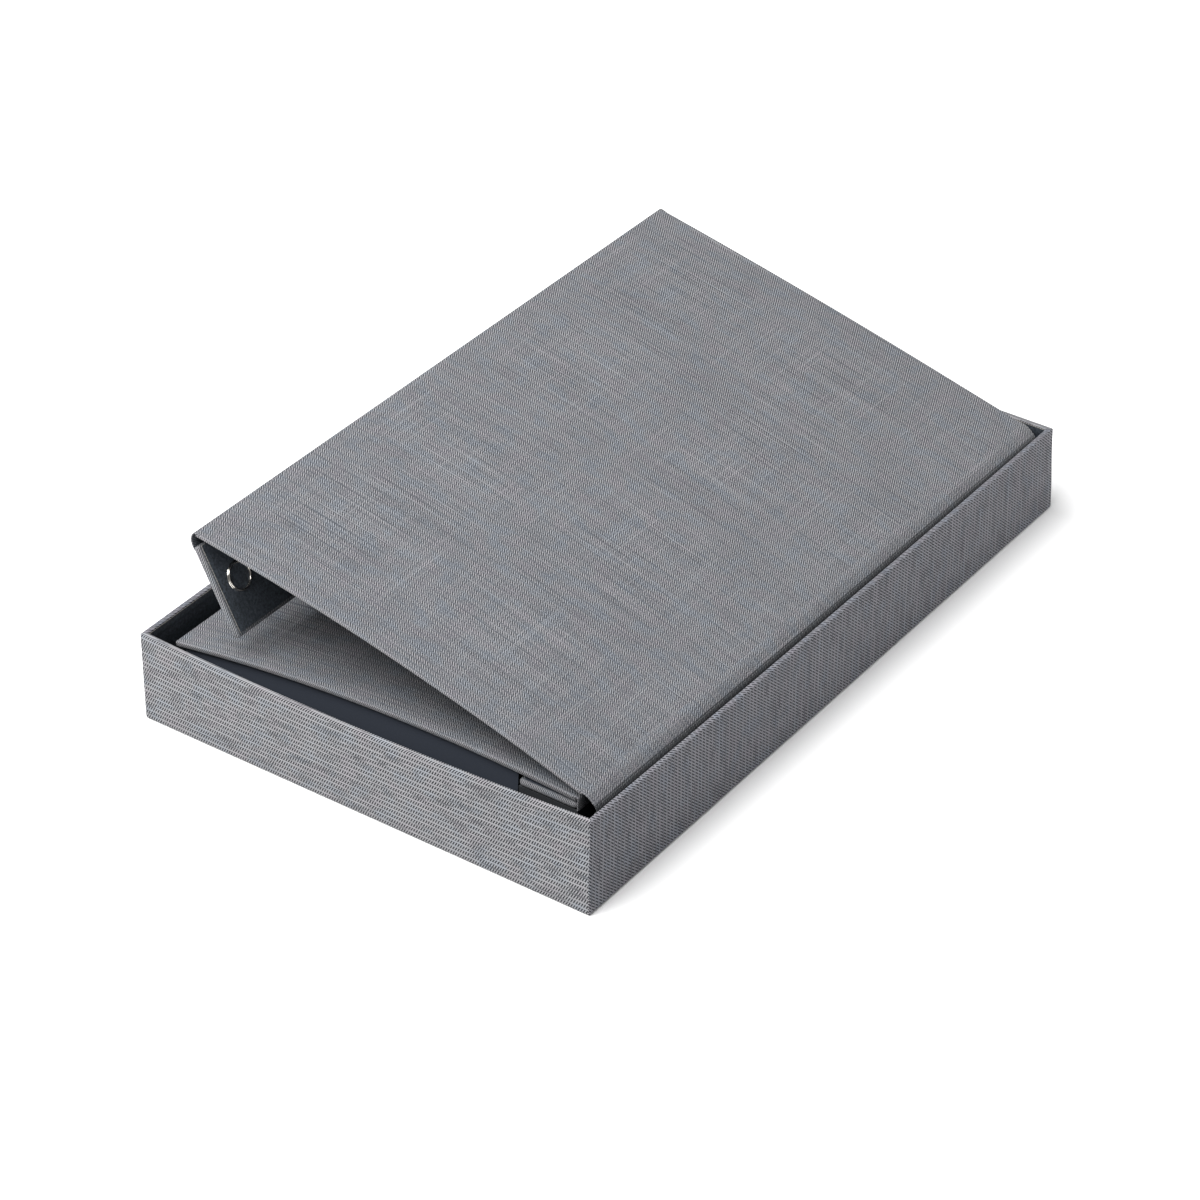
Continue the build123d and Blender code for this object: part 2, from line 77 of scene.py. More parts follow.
def lower_path(node):
    """X and Z along the lower face of an arched or flat CAD sheet, from its end outline."""
    mesh = frame["nodes"][node].data
    end = max(v.co.y for v in mesh.vertices)
    corners = {
        (round(v.co.x / MM, 4), round(v.co.z / MM, 4))
        for v in mesh.vertices
        if v.co.y > end - 1e-5
    }
    points = np.array(sorted(corners))
    chord = points[-1] - points[0]
    chord = chord / np.linalg.norm(chord)
    order = np.argsort(points @ chord)
    pairs = points[order].reshape(-1, 2, 2)
    height = pairs @ np.array([-chord[1], chord[0]])
    return np.array([pair[np.argmin(h)] for pair, h in zip(pairs, height)])


CLOTH = 0.35                # thickness of the book cloth
PAPER = 0.15                # thickness of the lining papers
LINING_LIFT = 0.12          # how far a pasted lining stands off the turned-in cloth
LINING_INSET = 1.5          # bare cloth left round a lining
EDGE_ROUND = 0.75           # radius of a cloth-covered board edge
TRAY_ROUND = 0.7            # radius of the tray's covered edges
BOARD_ROUND = 0.2           # radius of a bare board's edges
BOARD_EASE = 0.3            # how much smaller than its CAD node a cover's board is made

tray_low, tray_high = span("tray_cover_cloth")
TRAY_X, TRAY_Y, TRAY_Z = tray_high
WALL = TRAY_X - span("tray_floor_lining")[1][0]
FLOOR_TOP = span("tray_floor_lining")[1][2]
TURN_IN = TRAY_X - span("tray_filler_card")[1][0]
HALF = span("lid_cloth")[1][1]              # half the length of every cover
HALF_BOARD = span("lid_board")[1][1]

lid_curve = lower_path("lid_lining")
cover_curve = lower_path("inner_cover_lining")
LID_DEPTH = 1.9             # lining, board and cloth of the lid
COVER_DEPTH = 2.5           # the same for the inner cover
FLAP_DEPTH = 3.3            # the same for the flap
HINGE = CLOTH + PAPER       # thickness of a hinge strip

SPINE_CREASE = crease("lid_close")
LID_CREASE = crease("lid_open")
FOLD_CREASE = crease("flap_unfold")
FLAP_CREASE = crease("flap_fold")
COVER_CREASE = crease("inner_cover_lift")

# ---------------------------------------------------------------- unevenness of the handmade box


def smooth(t):
    """0 to 1 with level ends."""
    t = np.clip(t, 0, 1)
    return t * t * (3 - 2 * t)


def tray_shape(p):
    """The tray's walls bow a little and lean in at the corners, more so towards the rim.

    near, far, hinge_side and fore_side are how far each wall's rim moves, along the wall."""
    x, y, z = p.T
    lift = smooth(z / TRAY_Z)
    near = -2.0 + 1.9 * x / TRAY_X + 3.6 * (x / TRAY_X) ** 2
    far = -2.6 * smooth((x / TRAY_X + 0.4) / 1.2)
    ends = np.clip(np.abs(y) / TRAY_Y, 0, 1) ** 3
    dy = lift * ends * np.where(y < 0, near, far)
    hinge_side = 0.1 + 0.6 * y / TRAY_Y - 1.0 * (y / TRAY_Y) ** 2
    fore_side = -0.6 + 1.2 * (y / TRAY_Y) ** 2
    sides = np.clip(np.abs(x) / TRAY_X, 0, 1) ** 3
    dx = lift * sides * np.where(x > 0, hinge_side, fore_side)
    return p + np.stack([dx, dy, np.zeros_like(z)], 1)


LID_START = lid_curve[0][0]
LID_END = lid_curve[-1][0]


def case_shape(p):
    """The case lies slightly askew in the tray, and its lid is more arched at the near end."""
    x, y, z = p.T
    t = np.clip((x - LID_START) / (LID_END - LID_START), 0, 1)
    s = y / HALF
    skew = (-0.1 + 1.0 * s - 0.2 * s * s) * smooth((x - 60) / 40)
    crown = (-0.1 - 1.4 * s) * 4 * t * (1 - t)
    above = smooth((z - 36) / 6)            # the back cover under it stays flat
    shorter = -1.6 * np.clip(s, 0, 1) ** 2 * (1 - t) * above
    return p + np.stack([skew, shorter, crown * above], 1)


def cover_shape(p):
    """The inner cover is a little flatter at the far end."""
    x, y, z = p.T
    start, end = cover_curve[0][0], cover_curve[-1][0]
    t = np.clip((x - start) / (end - start), 0, 1)
    crown = np.where(y > 0, -1.6 * y / HALF, 0.15) * 4 * t * (1 - t)
    return p + np.stack([0 * x, 0 * x, crown], 1)


def as_is(p):
    """No unevenness."""
    return p


# ---------------------------------------------------------------- curves in the XZ plane


def rounded_corners(points, rounds=4):
    """A polyline with its corners cut again and again until they are smooth."""
    points = np.array(points, float)
    for _ in range(rounds):
        a, b = points[:-1], points[1:]
        cut = np.stack([a * 0.75 + b * 0.25, a * 0.25 + b * 0.75], 1).reshape(-1, 2)
        points = np.vstack([points[:1], cut, points[-1:]])
    return points


class Path:
    """A curve in XZ that a sheet follows: place() turns (along, y, height) into x, y, z."""

    def __init__(self, points):
        self.points = np.array(points, float)
        steps = np.linalg.norm(np.diff(self.points, axis=0), axis=1)
        self.at = np.concatenate([[0], np.cumsum(steps)])
        self.length = self.at[-1]
        run = np.gradient(self.points, self.at, axis=0)
        run /= np.linalg.norm(run, axis=1)[:, None]
        self.normal = np.stack([-run[:, 1], run[:, 0]], 1)
        self.first, self.last = run[0], run[-1]

    def place(self, along, y, height):
        inside = np.clip(along, 0, self.length)
        out = np.empty((len(along), 3))
        for axis, column in ((0, 0), (1, 2)):
            base = np.interp(inside, self.at, self.points[:, axis])
            normal = np.interp(inside, self.at, self.normal[:, axis])
            before = np.minimum(along, 0) * self.first[axis]
            after = np.maximum(along - self.length, 0) * self.last[axis]
            out[:, column] = base + normal * height + before + after
        out[:, 1] = y
        return out


def arched(curve):
    """A smooth path through the stations of an arched CAD sheet."""
    chord = curve[-1] - curve[0]
    width = np.linalg.norm(chord)
    chord = chord / width
    up = np.array([-chord[1], chord[0]])
    along = (curve - curve[0]) @ chord
    crown = np.polyfit(along, (curve - curve[0]) @ up, 2)
    stations = np.linspace(0, width, 97)
    return Path(curve[0] + np.outer(stations, chord) + np.outer(np.polyval(crown, stations), up))


def straight(start, end):
    """A path without any bend."""
    return Path(np.linspace(start, end, 9))


def flat_place(a, y, h):
    """The place() of a level sheet: along is X, height is Z."""
    return np.stack([a, y, h], 1)


# ---------------------------------------------------------------- mesh building


class Parts:
    """Vertices, faces, cloth coordinates and the mask for painted edge highlights of one piece while it is
    being made.
    """

    def __init__(self):
        self.vertices, self.faces, self.uvs, self.edge_highlight = [], [], [], []

    def add(self, vertices, faces, uvs, edge_highlight):
        offset = sum(len(v) for v in self.vertices)
        self.vertices.append(vertices)
        self.edge_highlight.append(edge_highlight)
        self.faces += [tuple(offset + i for i in face) for face in faces]
        self.uvs += uvs


def grid_lines(low, high, corner, count):
    """Stations along one side of a sheet: close together round its rounded ends."""
    turn = corner * (1 - np.tan(np.radians([45, 30, 15, 0])))
    middle = np.linspace(low + corner, high - corner, max(count, 2))
    return np.concatenate([low + turn[:-1], middle, (high - turn[:-1])[::-1]])


def sheet(parts, along, y, height, corner, place, steps=(24, 32), shape=as_is):
    """A closed sheet: a box in (along, y, height) with rounded edges, sent through place() and shape().

    steps counts the stations along, across and, where the sheet is thick, up."""
    low = np.array([along[0], y[0], height[0]], float)
    high = np.array([along[1], y[1], height[1]], float)
    corner = min(corner, (high[2] - low[2]) / 2 * 0.999)
    counts = (*steps, 2)[:3]
    lines = [grid_lines(low[k], high[k], corner, n) for k, n in enumerate(counts)]
    index, points, faces, uvs = {}, [], [], []

    def corner_of(i, j, k):
        key = (i, j, k)
        if key not in index:
            index[key] = len(points)
            points.append((lines[0][i], lines[1][j], lines[2][k]))
        return index[key]

    def unfolded(side, i, j, k):
        """Cloth coordinates: the edges are folded down from the upper face."""
        a, b, drop = lines[0][i], lines[1][j], high[2] - lines[2][k]
        u = a + (drop if side == (0, 1) else -drop if side == (0, 0) else 0)
        v = b + (drop if side == (1, 1) else -drop if side == (1, 0) else 0)
        return (u * MM, v * MM)

    last = [len(l) - 1 for l in lines]
    for axis in range(3):
        first, second = [a for a in range(3) if a != axis]
        for end in (0, 1):
            for i in range(last[first]):
                for j in range(last[second]):
                    loop = []
                    for di, dj in ((0, 0), (1, 0), (1, 1), (0, 1)):
                        key = [0, 0, 0]
                        key[axis] = last[axis] * end
                        key[first], key[second] = i + di, j + dj
                        loop.append(tuple(key))
                    if (end == 1) == (axis == 1):
                        loop.reverse()
                    faces.append(tuple(corner_of(*key) for key in loop))
                    uvs += [unfolded((axis, end), *key) for key in loop]
    points = np.array(points)
    core = np.clip(points, low + corner, high - corner)
    off = points - core
    length = np.linalg.norm(off, axis=1)
    reach = np.where(length > 1e-9, corner / np.maximum(length, 1e-9), 0)
    round_points = core + off * reach[:, None]
    # 1 at the rounded edges: the mask where the shaders paint highlights along the edges
    edge_highlight = np.abs(off[:, :2]).max(axis=1) / corner
    parts.add(shape(place(*round_points.T)), faces, uvs, edge_highlight)
    return parts


def ring(parts, profile, half_x, half_y, shape=as_is, steps=(28, 44), arc=5):
    """A profile of (inset, z) points swept round a rectangle. It closes on itself, both ways."""
    profile = np.array(profile, float)
    loops = []
    for inset, z in profile:
        radius = max(TRAY_ROUND - inset, 0.12)
        hx, hy = half_x - inset - radius, half_y - inset - radius
        points, sides = [], []
        turns = ((1, -1, -90), (1, 1, 0), (-1, 1, 90), (-1, -1, 180))
        for number, (sx, sy, start) in enumerate(turns):
            for step in range(arc + 1):
                angle = math.radians(start + 90 * step / arc)
                points.append((sx * hx + radius * math.cos(angle), sy * hy + radius * math.sin(angle)))
                sides.append(number)
            nx, ny, _ = turns[(number + 1) % 4]
            end_angle = math.radians(start + 90)
            a = np.array([sx * hx + radius * math.cos(end_angle), sy * hy + radius * math.sin(end_angle)])
            b = np.array([nx * hx + radius * math.cos(end_angle), ny * hy + radius * math.sin(end_angle)])
            count = steps[1] if number % 2 == 0 else steps[0]
            for step in range(1, count):
                points.append(tuple(a + (b - a) * step / count))
                sides.append(number)
        loops.append(np.array(points))
    outer = loops[int(np.argmin(profile[:, 0]))]
    along = np.concatenate([[0], np.cumsum(np.linalg.norm(np.diff(outer, axis=0, append=outer[:1]), axis=1))])
    down = np.concatenate([[0], np.cumsum(np.linalg.norm(np.diff(profile, axis=0), axis=1))])
    n, m = len(outer), len(profile)
    vertices = np.concatenate([np.column_stack([l, np.full(n, z)]) for l, (_, z) in zip(loops, profile)])
    starts = [s for s in range(n) if s == 0 or sides[s] != sides[s - 1]]
    faces, uvs = [], []
    for j in range(m):
        for i in range(n):
            i2, j2 = (i + 1) % n, (j + 1) % m
            faces.append((j * n + i, j * n + i2, j2 * n + i2, j2 * n + i))
            ends = (down[j], down[j] + np.linalg.norm(profile[j2] - profile[j]))
            for k, d in ((i, ends[0]), (i + 1, ends[0]), (i + 1, ends[1]), (i, ends[1])):
                if sides[i] == 3:
                    uvs.append((along[k] * MM, -d * MM))
                elif sides[i] == 1:
                    uvs.append((-along[k] * MM, d * MM))
                elif sides[i] == 0:
                    uvs.append((d * MM, along[k] * MM))
                else:
                    uvs.append((-d * MM, -along[k] * MM))
    # 1 at the corners and where the profile turns: the mask for painted highlights on the rim and corners
    edge_highlight = np.zeros(len(vertices))
    on_corner = np.zeros(n)
    for s in starts:
        for step in range(arc + 1):
            on_corner[s + step] = math.sin(math.pi * step / arc)
    for j in range(m):
        before, after = profile[j] - profile[j - 1], profile[(j + 1) % m] - profile[j]
        turn = abs(before[0] * after[1] - before[1] * after[0])
        turn /= np.linalg.norm(before) * np.linalg.norm(after) + 1e-9
        edge_highlight[j * n:(j + 1) * n] = np.maximum(on_corner, min(turn * 2.5, 1))
    parts.add(shape(vertices), faces, uvs, edge_highlight)
    return parts


def turned(parts, profile, origin, axis, count=64):
    """A closed profile of (radius, height) points turned round an axis."""
    axis = np.array(axis, float)
    side = np.cross(axis, [0, 1, 0])
    side /= np.linalg.norm(side)
    other = np.cross(axis, side)
    profile = np.array(profile, float)
    m = len(profile)
    angles = np.linspace(0, 2 * math.pi, count, endpoint=False)
    vertices, faces, uvs = [], [], []
    for radius, height in profile:
        for angle in angles:
            turn = side * math.cos(angle) + other * math.sin(angle)
            vertices.append(np.array(origin) + turn * radius + axis * height)
    for j in range(m):
        for i in range(count):
            i2, j2 = (i + 1) % count, (j + 1) % m
            faces.append((j * count + i, j2 * count + i, j2 * count + i2, j * count + i2))
            corners = ((i, j), (i, j + 1), (i + 1, j + 1), (i + 1, j))
            uvs += [(u * MM, v * MM) for u, v in corners]
    parts.add(np.array(vertices), faces, uvs, np.zeros(len(vertices)))
    return parts


def build(name, parts, material, nodes=(), smooth_faces=True):
    """Makes the piece and hides the CAD nodes it stands for."""
    mesh = bpy.data.meshes.new(name)
    vertices = np.concatenate(parts.vertices) * MM
    mesh.from_pydata(vertices.tolist(), [], parts.faces)
    layer = mesh.uv_layers.new(name="cloth")
    layer.data.foreach_set("uv", np.array(parts.uvs, np.float32).ravel())
    # the edge mask, which the shaders use to paint highlights along the edges
    edge_highlight = mesh.attributes.new("edge_highlight", "FLOAT", "POINT")
    edge_highlight.data.foreach_set("value", np.concatenate(parts.edge_highlight).astype(np.float32))
    mesh.update()
    mesh.validate()
    mesh.materials.append(material)
    mesh.polygons.foreach_set("use_smooth", [smooth_faces] * len(mesh.polygons))
    piece = bpy.data.objects.new(name, mesh)
    bpy.context.scene.collection.objects.link(piece)
    if nodes:
        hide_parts(*nodes)
    return piece


# ---------------------------------------------------------------- materials


class Shader:
    """One material's node tree, with short ways to add to it. Lengths are in millimetres."""

    def __init__(self, name, roughness=0.8, specular=0.3, metallic=0.0, sheen=0.0):
        self.material = bpy.data.materials.new(name)
        self.material.use_nodes = True
        self.tree = self.material.node_tree
        self.tree.nodes.clear()
        self.surface = self.tree.nodes.new("ShaderNodeBsdfPrincipled")
        output = self.tree.nodes.new("ShaderNodeOutputMaterial")
        self.tree.links.new(self.surface.outputs["BSDF"], output.inputs["Surface"])
        self.surface.inputs["Roughness"].default_value = roughness
        self.surface.inputs["Specular IOR Level"].default_value = specular
        self.surface.inputs["Metallic"].default_value = metallic
        self.surface.inputs["Sheen Weight"].default_value = sheen
        self.surface.inputs["Sheen Roughness"].default_value = 0.5

    def node(self, kind, values=None, **settings):
        made = self.tree.nodes.new(kind)
        for key, value in settings.items():
            setattr(made, key, value)
        for key, value in (values or {}).items():
            self.put(made.inputs[key], value)
        return made

    def put(self, socket, value):
        if isinstance(value, bpy.types.NodeSocket):
            self.tree.links.new(value, socket)
        else:
            socket.default_value = value

    def math(self, operation, a, b=0.0, c=0.0):
        made = self.node("ShaderNodeMath", operation=operation)
        for socket, value in zip(made.inputs, (a, b, c)):
            self.put(socket, value)
        return made.outputs[0]

    def total(self, *terms):
        """The sum of value times weight pairs."""
        result = 0.0
        for value, weight in terms:
            result = self.math("MULTIPLY_ADD", value, weight, result)
        return result

    def coordinates(self, u_scale=1.0, v_scale=1.0):
        """The piece's cloth coordinates in millimetres, stretched."""
        uv = self.node("ShaderNodeUVMap", uv_map="cloth").outputs[0]
        made = self.node("ShaderNodeVectorMath", operation="MULTIPLY")
        self.put(made.inputs[0], uv)
        made.inputs[1].default_value = (u_scale / MM, v_scale / MM, 0)
        return made.outputs[0]

    def solid_coordinates(self, scale=1.0):
        """Object coordinates in millimetres, for CAD nodes, which have no cloth coordinates."""
        place = self.node("ShaderNodeTexCoord").outputs["Object"]
        made = self.node("ShaderNodeVectorMath", operation="SCALE")
        self.put(made.inputs[0], place)
        made.inputs["Scale"].default_value = scale / MM
        return made.outputs[0]

    def noise(self, vector, detail=2.0, roughness=0.5):
        values = {"Vector": vector, "Scale": 1.0, "Detail": detail, "Roughness": roughness}
        return self.node("ShaderNodeTexNoise", values).outputs["Fac"]

    def between(self, value, low, high, to_low=0.0, to_high=1.0):
        values = {"Value": value, "From Min": low, "From Max": high, "To Min": to_low, "To Max": to_high}
        return self.node("ShaderNodeMapRange", values, clamp=True).outputs[0]

    def ramp(self, value, stops):
        made = self.node("ShaderNodeValToRGB", {"Fac": value})
        elements = made.color_ramp.elements
        while len(elements) < len(stops):
            elements.new(0.5)
        for element, (position, colour) in zip(elements, stops):
            element.position = position
            element.color = (*colour, 1)
        return made.outputs["Color"]

    def mixed(self, factor, a, b, blend="MIX"):
        made = self.node("ShaderNodeMix", data_type="RGBA", blend_type=blend)
        self.put(made.inputs["Factor"], factor)
        for socket, value in ((made.inputs[6], a), (made.inputs[7], b)):
            self.put(socket, value if isinstance(value, bpy.types.NodeSocket) else (*value, 1))
        return made.outputs[2]

    def bump(self, height, distance):
        """Relief on the surface, distance in millimetres."""
        made = self.node("ShaderNodeBump", {"Height": height, "Strength": 1.0, "Distance": distance * MM})
        self.tree.links.new(made.outputs["Normal"], self.surface.inputs["Normal"])

    def colour(self, value):
        self.put(self.surface.inputs["Base Color"], value)

    def roughness(self, value):
        self.put(self.surface.inputs["Roughness"], value)


THREAD_U = 0.59             # spacing of the threads, in millimetres
THREAD_V = 0.665


def woven(name, slant, row, light, middle, dark, strength=1.0, rowed=0.1, thread=THREAD_U):
    """Slubbed linen book cloth: broken slanting dashes between the threads, with thicker yarns across.

    slant leans the dashes and thread spaces them; row spaces the rows and rowed says how clear they are."""
    m = Shader(name, roughness=0.85, specular=0.25, sheen=0.12)
    drift = m.noise(m.coordinates(0.35, 0.35), 2)
    drift = m.math("SUBTRACT", drift, 0.5)
    axes = m.node("ShaderNodeSeparateXYZ")
    m.put(axes.inputs[0], m.coordinates())
    u = m.math("MULTIPLY_ADD", drift, 0.9, axes.outputs[0])
    v = m.math("MULTIPLY_ADD", drift, -0.9, axes.outputs[1])

    # the dashes repeat every second thread and lean across the rows
    phase = m.total((u, math.pi / thread), (v, 2 * math.pi * slant))
    dash = m.between(m.math("SINE", phase), -0.55, 0.55, -1.0, 1.0)
    rows = m.math("SINE", m.math("MULTIPLY_ADD", v, 2 * math.pi / row, m.math("MULTIPLY", drift, 2.5)))
    patches = m.between(m.noise(m.coordinates(0.10, 0.22), 3, 0.6), 0.36, 0.60, 0.45 + 0.78 * rowed, 1.0)
    dash = m.math("MULTIPLY", dash, patches)
    dash = m.math("MULTIPLY", dash, m.between(rows, -0.7, 0.2, 0.1, 1.0))
    broken = m.between(m.noise(m.coordinates(0.07, 0.5), 2, 0.6), 0.36, 0.52)
    row_thread = m.math("MULTIPLY", m.between(rows, -0.25, -0.80), broken)

    over = m.math("SINE", m.math("MULTIPLY", u, math.pi / THREAD_U))
    under = m.math("SINE", m.math("MULTIPLY", v, math.pi / THREAD_V))
    weave = m.math("MULTIPLY", over, under)

    weft = m.noise(m.coordinates(0.012, 2.7), 2, 0.6)
    light_yarn = m.between(weft, 0.56, 0.72)
    dark_yarn = m.between(weft, 0.44, 0.30)
    warp = m.noise(m.coordinates(2.4, 0.013), 2, 0.6)
    light_warp = m.between(warp, 0.55, 0.72)
    grain = m.math("SUBTRACT", m.noise(m.coordinates(1.6, 1.6), 2, 0.7), 0.5)
    cloud = m.math("SUBTRACT", m.noise(m.coordinates(0.03, 0.05), 2), 0.5)

    # painted highlights: thread tops made lighter along the rounded edges, where light catches them
    highlight_mask = m.node("ShaderNodeAttribute", attribute_name="edge_highlight").outputs["Fac"]
    edge_bead_highlights = m.math("MULTIPLY", highlight_mask, m.math("MULTIPLY_ADD", dash, 0.9, 0.30))
    tone = m.total(
        (dash, 0.46 * strength), (weave, 0.10), (light_yarn, 0.36), (dark_yarn, -0.24),
        (light_warp, 0.26), (grain, 1.1), (cloud, 0.10), (edge_bead_highlights, 0.50), (row_thread, 0.68 * rowed))
    tone = m.math("ADD", tone, 0.5)         # the middle colour is the cloth's own
    cloth = m.ramp(tone, [(0.0, dark), (0.5, middle), (1.0, light)])

    # faint drift of the dye between cooler and warmer greys
    tint = m.noise(m.coordinates(0.09, 0.13), 2)
    tint = m.ramp(tint, [(0.35, (0.95, 1.0, 1.05)), (0.5, (1.0, 1.0, 1.0)), (0.65, (1.03, 0.99, 1.01))])
    m.colour(m.mixed(1.0, cloth, tint, "MULTIPLY"))
    m.roughness(m.between(tone, 0.0, 1.0, 0.95, 0.78))
    height = m.total((dash, 0.5), (weave, 0.35), (light_yarn, 0.6), (dark_yarn, -0.3), (light_warp, 0.4))
    m.bump(height, 0.06)
    return m.material


def lining_paper(name, base, cut_edge_highlight):
    """Smooth near-black paper: faint fibres, a slight satin, and a painted highlight along its cut edge."""
    m = Shader(name, roughness=0.6, specular=0.35)
    fibres = m.noise(m.coordinates(0.5, 3.0), 4, 0.7)
    cloud = m.noise(m.coordinates(0.05, 0.05), 3)
    tone = m.total((fibres, 0.6), (cloud, 0.5))
    speckle = m.math("SUBTRACT", m.noise(m.coordinates(0.8, 0.8), 2, 0.7), 0.5)
    tone = m.math("MULTIPLY_ADD", speckle, 1.6, tone)
    dark = tuple(0.55 * c for c in base)
    pale = tuple(1.6 * c for c in base)
    body = m.ramp(tone, [(0.3, dark), (0.55, base), (0.85, pale)])
    # painted highlight: the cut edge is made pale where light catches it
    highlight_mask = m.node("ShaderNodeAttribute", attribute_name="edge_highlight").outputs["Fac"]
    edge = m.between(m.math("MULTIPLY_ADD", fibres, 0.3, highlight_mask), 0.75, 1.05)
    m.colour(m.mixed(edge, body, cut_edge_highlight))
    m.roughness(m.between(fibres, 0.3, 0.7, 0.5, 0.68))
    m.bump(fibres, 0.02)
    return m.material


def solid_paper(name, base):
    """The same paper on a piece that has no cloth coordinates."""
    m = Shader(name, roughness=0.6, specular=0.35)
    fibres = m.noise(m.solid_coordinates(1.4), 4, 0.7)
    cloud = m.noise(m.solid_coordinates(0.04), 3)
    tone = m.total((fibres, 0.6), (cloud, 0.5))
    m.colour(m.ramp(tone, [(0.3, tuple(0.75 * c for c in base)), (0.8, tuple(1.3 * c for c in base))]))
    m.roughness(m.between(fibres, 0.3, 0.7, 0.5, 0.68))
    m.bump(fibres, 0.02)
    return m.material


def grey_board(name, base):
    """Pressed board: flecks of pulp, darker specks and a soft grain."""
    m = Shader(name, roughness=0.9, specular=0.2)
    pulp = m.noise(m.solid_coordinates(0.9), 5, 0.7)
    specks = m.between(m.noise(m.solid_coordinates(2.6), 1), 0.68, 0.76)
    layers = m.node("ShaderNodeSeparateXYZ")
    m.put(layers.inputs[0], m.solid_coordinates())
    ply = m.math("SINE", m.math("MULTIPLY", layers.outputs[2], 2 * math.pi / 0.9))
    tone = m.total((pulp, 1.0), (ply, 0.05))
    body = m.ramp(tone, [(0.3, tuple(0.8 * c for c in base)), (0.7, tuple(1.15 * c for c in base))])
    m.colour(m.mixed(m.math("MULTIPLY", specks, 0.6), body, tuple(0.4 * c for c in base)))
    m.roughness(m.between(pulp, 0.3, 0.7, 0.82, 0.96))
    m.bump(tone, 0.04)
    return m.material


SCRATCH = 0.12              # how much the turning marks change a metal's roughness


def metal(name, base, roughness):
    """Plated steel with fine turning marks and a few duller patches."""
    m = Shader(name, roughness=roughness, specular=0.5, metallic=1.0)
    haze = m.noise(m.solid_coordinates(0.5), 3, 0.6)
    marks = m.noise(m.solid_coordinates(6.0), 2, 0.6)
    m.colour(m.ramp(haze, [(0.3, tuple(0.82 * c for c in base)), (0.7, base)]))
    m.roughness(m.math("MULTIPLY_ADD", marks, SCRATCH, roughness - SCRATCH / 2))
    m.bump(marks, 0.004)
    return m.material


CLOTH_DARK, CLOTH_MIDDLE, CLOTH_LIGHT = (0.008, 0.009, 0.012), (0.080, 0.085, 0.096), (0.28, 0.28, 0.29)
WALL_MIDDLE, WALL_LIGHT = (0.070, 0.073, 0.082), (0.27, 0.27, 0.28)
# darker colours of the tray cloth for the side walls: painted shade
SIDE_SHADE_MIDDLE, SIDE_SHADE_LIGHT = (0.047, 0.050, 0.060), (0.19, 0.19, 0.21)
# darker copy of the cover cloth's colours: painted shade for the groove beside the long wall
GROOVE_SHADE_MIDDLE, GROOVE_SHADE_LIGHT = (0.024, 0.026, 0.030), (0.13, 0.135, 0.14)
LINING = (0.042, 0.050, 0.061)
# colour of the lining's cut edge, a painted highlight
CUT_EDGE_HIGHLIGHT = (0.30, 0.28, 0.25)
# slate-blue paper; on the strips under the inner cover it is painted shade of the interior seen in the gap
SLATE = (0.048, 0.056, 0.074)
cover_cloth = woven("cover_cloth", 0.75, 2.6, CLOTH_LIGHT, CLOTH_MIDDLE, CLOTH_DARK, strength=1.25)
wall_cloth = woven(
    "wall_cloth", 0.45, 2.37, WALL_LIGHT, WALL_MIDDLE, CLOTH_DARK, strength=1.75, rowed=0.8, thread=0.60)
shaded_side_cloth = woven(
    "shaded_side_cloth", 0.62, 2.4, SIDE_SHADE_LIGHT, SIDE_SHADE_MIDDLE, CLOTH_DARK, strength=1.9, rowed=0.5, thread=0.74)
# the strip down in the groove beside the long wall: a near-black copy of the cover cloth, painted shade for
# the shadowed groove
groove_shade_cloth = woven("groove_shade_cloth", 0.75, 2.6, GROOVE_SHADE_LIGHT, GROOVE_SHADE_MIDDLE, CLOTH_DARK, strength=1.25)
paper = lining_paper("black_paper", LINING, CUT_EDGE_HIGHLIGHT)
side_paper = lining_paper("slate_paper", SLATE, SLATE)
paper_plain = solid_paper("black_paper_plain", LINING)
dark_cloth = woven(
    "hinge_lining_cloth", 0.75, 2.0, (0.060, 0.066, 0.074), (0.022, 0.027, 0.033), (0.008, 0.010, 0.013))
board = grey_board("grey_board", (0.34, 0.33, 0.31))
card = grey_board("guard_card", (0.034, 0.036, 0.040))
post_metal = metal("post_metal", (0.66, 0.64, 0.61), 0.28)
keeper_metal = metal("keeper_metal", (0.50, 0.50, 0.50), 0.38)
button_metal = metal("button_metal", (0.80, 0.76, 0.70), 0.16)
magnet_metal = metal("magnet_metal", (0.13, 0.13, 0.14), 0.33)

# ---------------------------------------------------------------- tray


def arc_points(centre, radius, start, end, count=5):
    """Points of an arc of a profile, angles in degrees from the inset direction."""
    angles = np.radians(np.linspace(start, end, count))
    return [(centre[0] - radius * math.cos(a), centre[1] + radius * math.sin(a)) for a in angles]


TURN_DOWN = 2.4             # how far the wall's cloth reaches down inside the rim
RIM_ROUND = 0.6             # radius of the rim's inner edge
LINING_DROP = 0.75          # from the rim down to the lining's upper edge
LINING_LAP = 0.22           # how far the lining stands out where it laps the turned-in cloth


